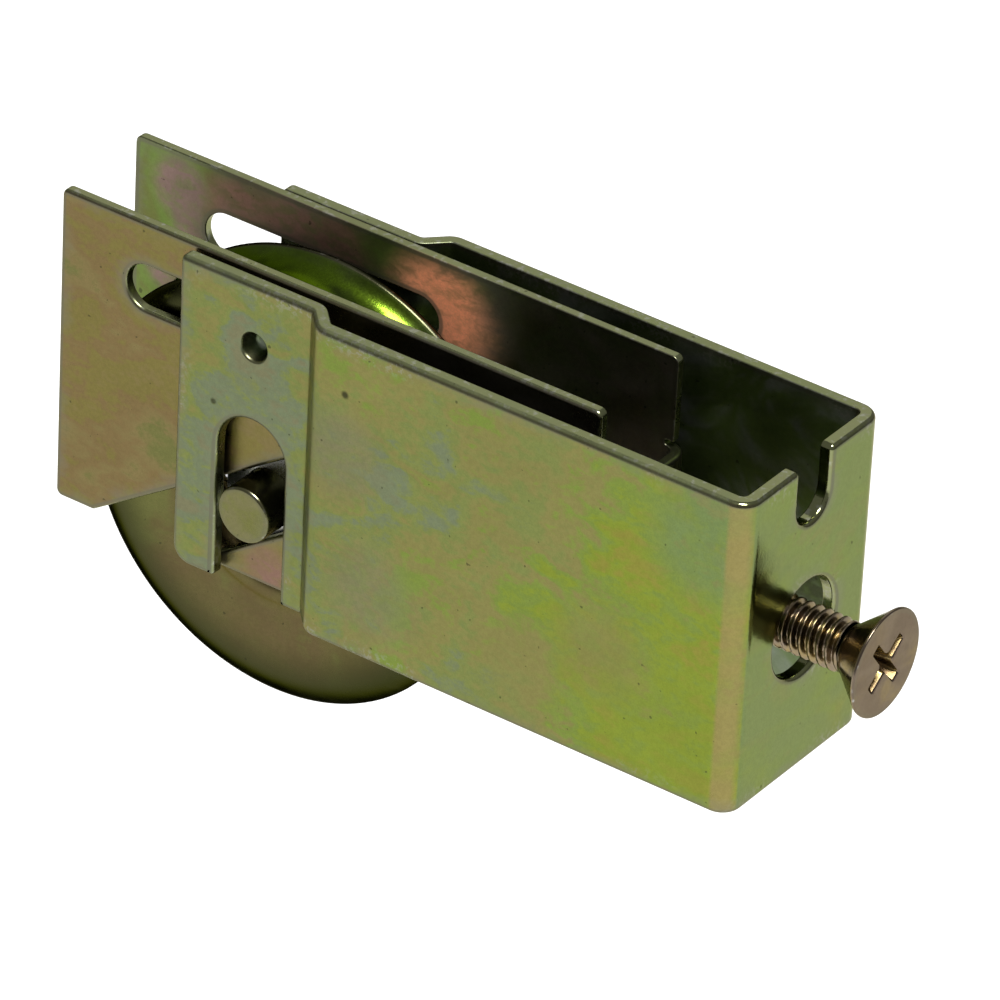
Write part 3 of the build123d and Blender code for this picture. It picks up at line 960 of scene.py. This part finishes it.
housing = sheet(
    "housing_shell", housing_bend, [housing_outline, screw_hole], HOUSING_SHEET, HOUSING_ROLLED_R,
    HOUSING_BITTEN_R, dimples,
)
place_piece(housing, housing_plate, "housing", "housing_plate", "housing")

# ---- carriage
plate_mid_y = (carriage_high.y - carriage_low.y - CARRIAGE_SHEET) / 2
near_plan = [
    (CARRIAGE_END_X, -plate_mid_y, 0),
    (WEB_FACE_X - CARRIAGE_SHEET / 2, -plate_mid_y, WEB_BEND_R - CARRIAGE_SHEET / 2),
]
far_plan = [(x, -y, r) for x, y, r in reversed(near_plan)]
far_plan[-1] = (CARRIAGE_END_X - FAR_PLATE_EXTRA, plate_mid_y, 0)
carriage_bend = Bend(near_plan + far_plan, WEB_FACE_X - WEB_BEND_R - CARRIAGE_END_X, FAR_PLATE_EXTRA)
plate_end_u = PLATE_END_X - CARRIAGE_END_X
relief_u = carriage_bend.straight - RELIEF_INTO_BEND
relief_r = RELIEF_WIDTH * 0.49
axle_u = AXLE_X - CARRIAGE_END_X


def cam_point(run, rise):
    """A point by its distance along the inclined slot from the axle, and its distance above it."""
    return (
        axle_u + run * math.cos(CAM_ANGLE) - rise * math.sin(CAM_ANGLE),
        AXLE_Z + run * math.sin(CAM_ANGLE) + rise * math.cos(CAM_ANGLE),
    )


def cam_foot(rise):
    """Where an edge of the inclined slot runs out through the bottom of the plate."""
    u, v = cam_point(0, rise)
    return (u - (v - BOTTOM_Z) / math.tan(CAM_ANGLE), BOTTOM_Z)


cam_r = CAM_SLOT_WIDTH / 2
cam_end = CAM_RUN_UP / math.cos(CAM_ANGLE) + cam_r
near_half = [
    (plate_end_u, CARRIAGE_TOP_Z, PLATE_CORNER_R),
    (0, CARRIAGE_TOP_Z, PLATE_CORNER_R),
    (0, BOTTOM_Z, PLATE_CORNER_R),
    (*cam_foot(cam_r), CAM_MOUTH_R),
    (*cam_point(cam_end, cam_r), cam_r * ROUND_END),
    (*cam_point(cam_end, -cam_r), cam_r * ROUND_END),
    (*cam_foot(-cam_r), CAM_MOUTH_R),
    (plate_end_u, BOTTOM_Z, PLATE_CORNER_R),
    (plate_end_u, WEB_LOW_Z - RELIEF_WIDTH, RELIEF_MOUTH_R),
    (relief_u, WEB_LOW_Z - RELIEF_WIDTH, relief_r),
    (relief_u, WEB_LOW_Z, relief_r),
]
top_relief = [
    (relief_u, WEB_TOP_Z, relief_r),
    (relief_u, WEB_TOP_Z + RELIEF_WIDTH, relief_r),
    (plate_end_u, WEB_TOP_Z + RELIEF_WIDTH, RELIEF_MOUTH_R),
]
length = carriage_bend.length
far_half = mirrored(near_half, length, FAR_PLATE_EXTRA)
carriage_outline = rounded(near_half + far_half + mirrored(top_relief, length) + top_relief)


def level_slot(left, right):
    """The outline of a round-ended slot for the dimple."""
    half, r = LEVEL_SLOT_WIDTH / 2, LEVEL_SLOT_WIDTH / 2 * ROUND_END
    low, high = DIMPLE_Z - half, DIMPLE_Z + half
    return rounded([(left, low, r), (left, high, r), (right, high, r), (right, low, r)])


slot_ends = (LEVEL_SLOT_LEFT_X - CARRIAGE_END_X, LEVEL_SLOT_RIGHT_X - CARRIAGE_END_X)
level_slots = [level_slot(*slot_ends), level_slot(length - slot_ends[1], length - slot_ends[0])]
tapped_hole = circle(length / 2, SCREW_Z, SCREW_R + TAPPED_CLEARANCE)
carriage = sheet(
    "carriage_frame", carriage_bend, [carriage_outline, *level_slots, tapped_hole], CARRIAGE_SHEET,
    CARRIAGE_ROLLED_R, CARRIAGE_BITTEN_R,
    flat_above=WEB_TOP_Z + RELIEF_WIDTH / 2, flat_below=WEB_LOW_Z - RELIEF_WIDTH / 2,
)
place_piece(carriage, carriage_plate, "carriage", "carriage_plate", "carriage")

# ---- wheel, races, axle and balls
wheel_centre = Vector((AXLE_X, 0, AXLE_Z))
groove_r = BALL_R + BEARING_GAP
back_r = groove_r + WHEEL_SHEET


def ball_circle(radius, degrees):
    """Section point at an angle from straight out, on a circle about a ball's centre."""
    a = math.radians(degrees)
    return Vector((radius * math.sin(a), BALL_RING_R + radius * math.cos(a)))


def section_for(side, points):
    """A section drawn for the far side, turned over for the near one."""
    if side > 0:
        points = points[::-1]
    return section_normals([(side * y, radius) for y, radius in points])


outer_flank = Vector(FLANK_INNER), Vector(FLANK_OUTER)
to_back = Vector((WHEEL_SHEET, 0))
shell_section = [
    *arc((SHELL_JOINT_GAP, BALL_RING_R + groove_r), ball_circle(groove_r, 26), ball_circle(groove_r, 52), 14),
    *arc(LIP_END, LIP_TURN, FLANK_INNER),
    *(outer_flank[0].lerp(outer_flank[1], t / 8) for t in range(1, 8)),
    *arc(FLANK_OUTER, SHOULDER, CREST_OUT, 20),
    *arc(CREST_OUT, CREST_TOP, CREST_IN, 10),
    *arc(CREST_IN, TREAD_HALF_WAY, (SHELL_JOINT_GAP, TREAD_FLOOR_R)),
    (SHELL_JOINT_GAP, TREAD_FLOOR_R - WHEEL_SHEET),
    TREAD_BACK,
    CREST_BACK,
    *arc(CREST_BACK, SHOULDER_BACK, outer_flank[1] - to_back, 10),
    outer_flank[0] - to_back,
    *arc(ball_circle(back_r, 38), ball_circle(back_r, 20), (SHELL_JOINT_GAP, BALL_RING_R + back_r), 8),
]
shoulder_r = ball_circle(groove_r, 135).y
bore_r = AXLE_R + PRESS_GAP
cone_section = [
    *arc(*(ball_circle(groove_r, angle) for angle in (135, 158, 180)), 10),
    (0, bore_r),
    (CONE_END_Y, bore_r),
    (CONE_END_Y, CONE_BOSS_R),
    (CONE_SHOULDER_Y + shoulder_r - CONE_BOSS_R, CONE_BOSS_R),
    (CONE_SHOULDER_Y, shoulder_r),
]


def in_tread(along, radius):
    """Whether a section point of the wheel lies in the hollow between its crests."""
    return abs(along) < CREST_IN[0] and radius > TREAD_FLOOR_R - 0.1


for name, side in (("near", -1), ("far", 1)):
    crest = (side * CREST_TOP[0], CREST_TOP[1])
    shell = lathe(
        "wheel_half_" + name, section_for(side, shell_section), wheel_centre, "Y", 160, worn=[crest],
        hollow=in_tread,
    )
    place_piece(shell, wheel_plate, "wheel", "wheel_plate", "wheel_shell_" + name)
    race = lathe("bearing_cone_" + name, section_for(side, cone_section), wheel_centre, "Y")
    place_piece(race, race_plate, "axle", "race_steel", "inner_race_" + name)

half = AXLE_HALF_LENGTH
pin = rounded(
    [(half, 0, 0), (half, AXLE_R, AXLE_ROUNDING), (-half, AXLE_R, AXLE_ROUNDING), (-half, 0, 0)], closed=False
)
axle = lathe("axle_pin", pin, wheel_centre, "Y", closed=False, worn=[(half, AXLE_R), (-half, AXLE_R)])
place_piece(axle, axle_plate, "axle", "axle_steel", "axle")

for name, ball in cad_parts.items():
    if name.startswith("ball_"):
        ball.data.materials.clear()
        ball.data.materials.append(ball_steel)
        ball.data.shade_smooth()

# ---- adjusting screw
SCREW_SEGMENTS = 72
neck_x = SCREW_FACE_X - HEAD_RIM - (HEAD_R - NECK_R) / math.tan(HEAD_HALF_ANGLE)
thread_x = neck_x - NECK_LENGTH
run_out_x = thread_x + THREAD_PITCH
screw_centre = Vector((0, 0, SCREW_Z))
flat_r = HEAD_R - FACE_SEAM_IN


def share(value, start, end):
    """How far a value has gone from a start to an end, from 0 to 1."""
    return min(max((value - start) / (end - start), 0.0), 1.0)


def thread_radius(x, angle):
    """Radius of the thread at a place along the screw and round it."""
    phase = (x / THREAD_PITCH - angle / (2 * math.pi)) % 1.0
    cut = share(abs(phase - 0.5), THREAD_CREST, THREAD_CREST + THREAD_FLANK)
    cut = cut * cut * (3 - 2 * cut) * 0.35 + cut * 0.65  # straight flanks, eased at both ends
    lead_in = max(0.0, SCREW_TIP_X + LEAD_IN - x) * LEAD_IN_SLOPE
    crest = min(SCREW_R - lead_in, SCREW_R + (NECK_R - SCREW_R) * share(x, thread_x, run_out_x))
    depth = THREAD_DEPTH * share(x, run_out_x, thread_x)
    return max(crest - depth * cut, SCREW_R - THREAD_DEPTH - lead_in)


def thread_shape(x, angle):
    """The thread's radius, with its slopes along the screw and round it, or None off the thread."""
    if not SCREW_TIP_X < x < run_out_x:
        return None
    d = 0.01
    r = thread_radius(x, angle)
    slope = (thread_radius(x + d, angle) - thread_radius(x - d, angle)) / (2 * d)
    tilt = (thread_radius(x, angle + d) - thread_radius(x, angle - d)) / (2 * d) / r
    return r, slope, tilt


shank_section = rounded([
    (SCREW_FACE_X, flat_r, 0),
    (SCREW_FACE_X, HEAD_R, HEAD_EDGE_R),
    (SCREW_FACE_X - HEAD_RIM, HEAD_R, HEAD_BACK_EDGE_R),
    (neck_x, NECK_R, NECK_FILLET_R),
    (run_out_x, NECK_R, 0),
], closed=False)
steps = round((run_out_x - SCREW_TIP_X) / THREAD_PITCH * 16)
for k in range(1, steps):
    x = run_out_x - (run_out_x - SCREW_TIP_X) * k / steps
    shank_section.append((Vector((x, SCREW_R)), Vector((0, 1))))
tip_r = SCREW_R - THREAD_DEPTH - LEAD_IN * LEAD_IN_SLOPE
for radius, normal in ((tip_r, (-0.7, 0.7)), (tip_r - 0.1, (-1, 0)), (0, (-1, 0))):
    shank_section.append((Vector((SCREW_TIP_X, radius)), Vector(normal)))
screw = lathe(
    "machine_screw", shank_section, screw_centre, "X", SCREW_SEGMENTS, closed=False,
    worn=[(SCREW_FACE_X, HEAD_R)], shaped=thread_shape,
)


def cross(span, width, tip_r, inner_r):
    """Outline of the recess at one depth, clockwise so that its normals point inwards."""
    a, b = span / 2, width / 2
    corners = []
    for k in range(4):
        turn = Matrix.Rotation(RECESS_TURN + k * math.pi / 2, 2)
        for x, y, r in ((a, -b, tip_r), (a, b, tip_r), (b, b, inner_r)):
            p = turn @ Vector((x, y))
            corners.append((p.x, p.y, r))
    return rounded(corners[::-1], step=30)


def screw_face():
    """The head's flat face with its cross recess."""
    # Depth, span, width, radius at the arms' tips, radius between the arms, and how much it faces out
    levels = [
        (0.0, RECESS_SPAN + 0.24, RECESS_WIDTH + 0.26, 0.26, 0.26, 1.0),
        (0.06, RECESS_SPAN + 0.08, RECESS_WIDTH + 0.10, 0.22, 0.30, 0.62),
        (0.18, RECESS_SPAN - 0.06, RECESS_WIDTH - 0.02, 0.18, 0.34, 0.28),
        (0.7, RECESS_SPAN - 1.25, RECESS_WIDTH - 0.20, 0.14, 0.34, 0.26),
        (1.5, RECESS_SPAN - 2.7, RECESS_WIDTH - 0.40, 0.10, 0.28, 0.35),
        (RECESS_DEPTH, 1.0, 0.40, 0.06, 0.16, 0.6),
    ]
    rows = [cross(*outline) for depth, *outline, facing in levels]
    count = len(rows[0])
    points, normals, faces = [], [], []
    for (depth, *_, facing), row in zip(levels, rows):
        for p, n in row:
            points.append(Vector((SCREW_FACE_X - depth, p.x, p.y + SCREW_Z)))
            normals.append(Vector((facing, n.x * (1 - facing), n.y * (1 - facing))).normalized())
    pit = len(points)
    points.append(Vector((SCREW_FACE_X - RECESS_DEPTH - 0.1, 0, SCREW_Z)))
    normals.append(Vector((1, 0, 0)))
    for start in range(0, pit, count):
        for i in range(start, start + count):
            j = start + (i + 1) % count
            below = (i + count, j + count) if start + count < pit else (pit,)
            faces.append((j, i, *below))

    rim_start = len(points)
    rim = [p for p, n in circle(0, 0, flat_r, SCREW_SEGMENTS)]
    for p in rim:
        points.append(Vector((SCREW_FACE_X, p.x, p.y + SCREW_Z)))
        normals.append(Vector((1, 0, 0)))
    mouth = [p for p, n in rows[0]]
    edges = loop_edges(count, SCREW_SEGMENTS)
    triangles, _, origins = fill(mouth + rim, edges, [np.array(mouth), np.array(rim)])
    for triangle in triangles:
        ids = [origins[i][0] for i in triangle]
        faces.append([i if i < count else rim_start + i - count for i in ids])
    deep = [float(SCREW_FACE_X - p.x > 0.1) for p in points]
    return finish_mesh("screw_face", points, faces, normals, [2.0] * len(points), deep)


face = screw_face()
bpy.ops.object.select_all(action="DESELECT")
for piece in (face, screw):
    piece.select_set(True)
bpy.context.view_layer.objects.active = screw
bpy.ops.object.join()
place_piece(screw, screw_plate, "screw", "screw_steel", "adjusting_screw")

# ---- studio
FLOOR_DROP = 0.085
FLOOR_SIZE = 12
ROOM_LIGHT = 0.30
centre = (cad_low + cad_high) / 2


def softbox(name, place, size, power):
    """A square area light that faces the object, placed from its middle in metres."""
    data = bpy.data.lights.new(name, "AREA")
    data.size = size
    data.energy = power
    lamp = put(name, data)
    lamp.location = centre + Vector(place)
    lamp.rotation_euler = (-Vector(place)).to_track_quat("-Z", "Y").to_euler()


# A plain pale floor, far enough below for its shadow to stay out of the picture
bpy.ops.mesh.primitive_plane_add(size=FLOOR_SIZE, location=(0, 0, cad_low.z - FLOOR_DROP))
floor = bpy.context.object
floor.name = "floor"
material, _, shader = new_material("pale_floor")
shader.inputs["Base Color"].default_value = (0.86, 0.86, 0.86, 1)
shader.inputs["Roughness"].default_value = 0.7
floor.data.materials.append(material)

world = bpy.data.worlds.new("soft_room")
bpy.context.scene.world = world
world.use_nodes = True
background = world.node_tree.nodes["Background"]
background.inputs["Color"].default_value = (1, 1, 1, 1)
background.inputs["Strength"].default_value = ROOM_LIGHT
softbox("key", (0.42, -0.38, 1.83), 0.62, 62.0)
softbox("backdrop", (-0.75, 1.12, 0.86), 1.2, 3.2)

# ---- camera, at the photograph's angle
AZIMUTH = math.radians(34.13)
ELEVATION = math.radians(32.63)
ROLL = math.radians(3.05)
DISTANCE = 0.69512
AIM = Vector((0.21, 2.26, 2.215)) * MM
LENS = 333.5
SENSOR = 36
data = bpy.data.cameras.new("camera")
data.lens = LENS
data.sensor_width = SENSOR
camera = put("camera", data)
tilt = Matrix.Rotation(math.radians(90) - ELEVATION, 4, "X") @ Matrix.Rotation(ROLL, 4, "Z")
turn = Matrix.Rotation(AZIMUTH, 4, "Z") @ tilt
camera.matrix_world = Matrix.Translation(centre + AIM) @ turn @ Matrix.Translation((0, 0, DISTANCE))
bpy.context.scene.camera = camera
bpy.context.scene.view_settings.view_transform = "Standard"
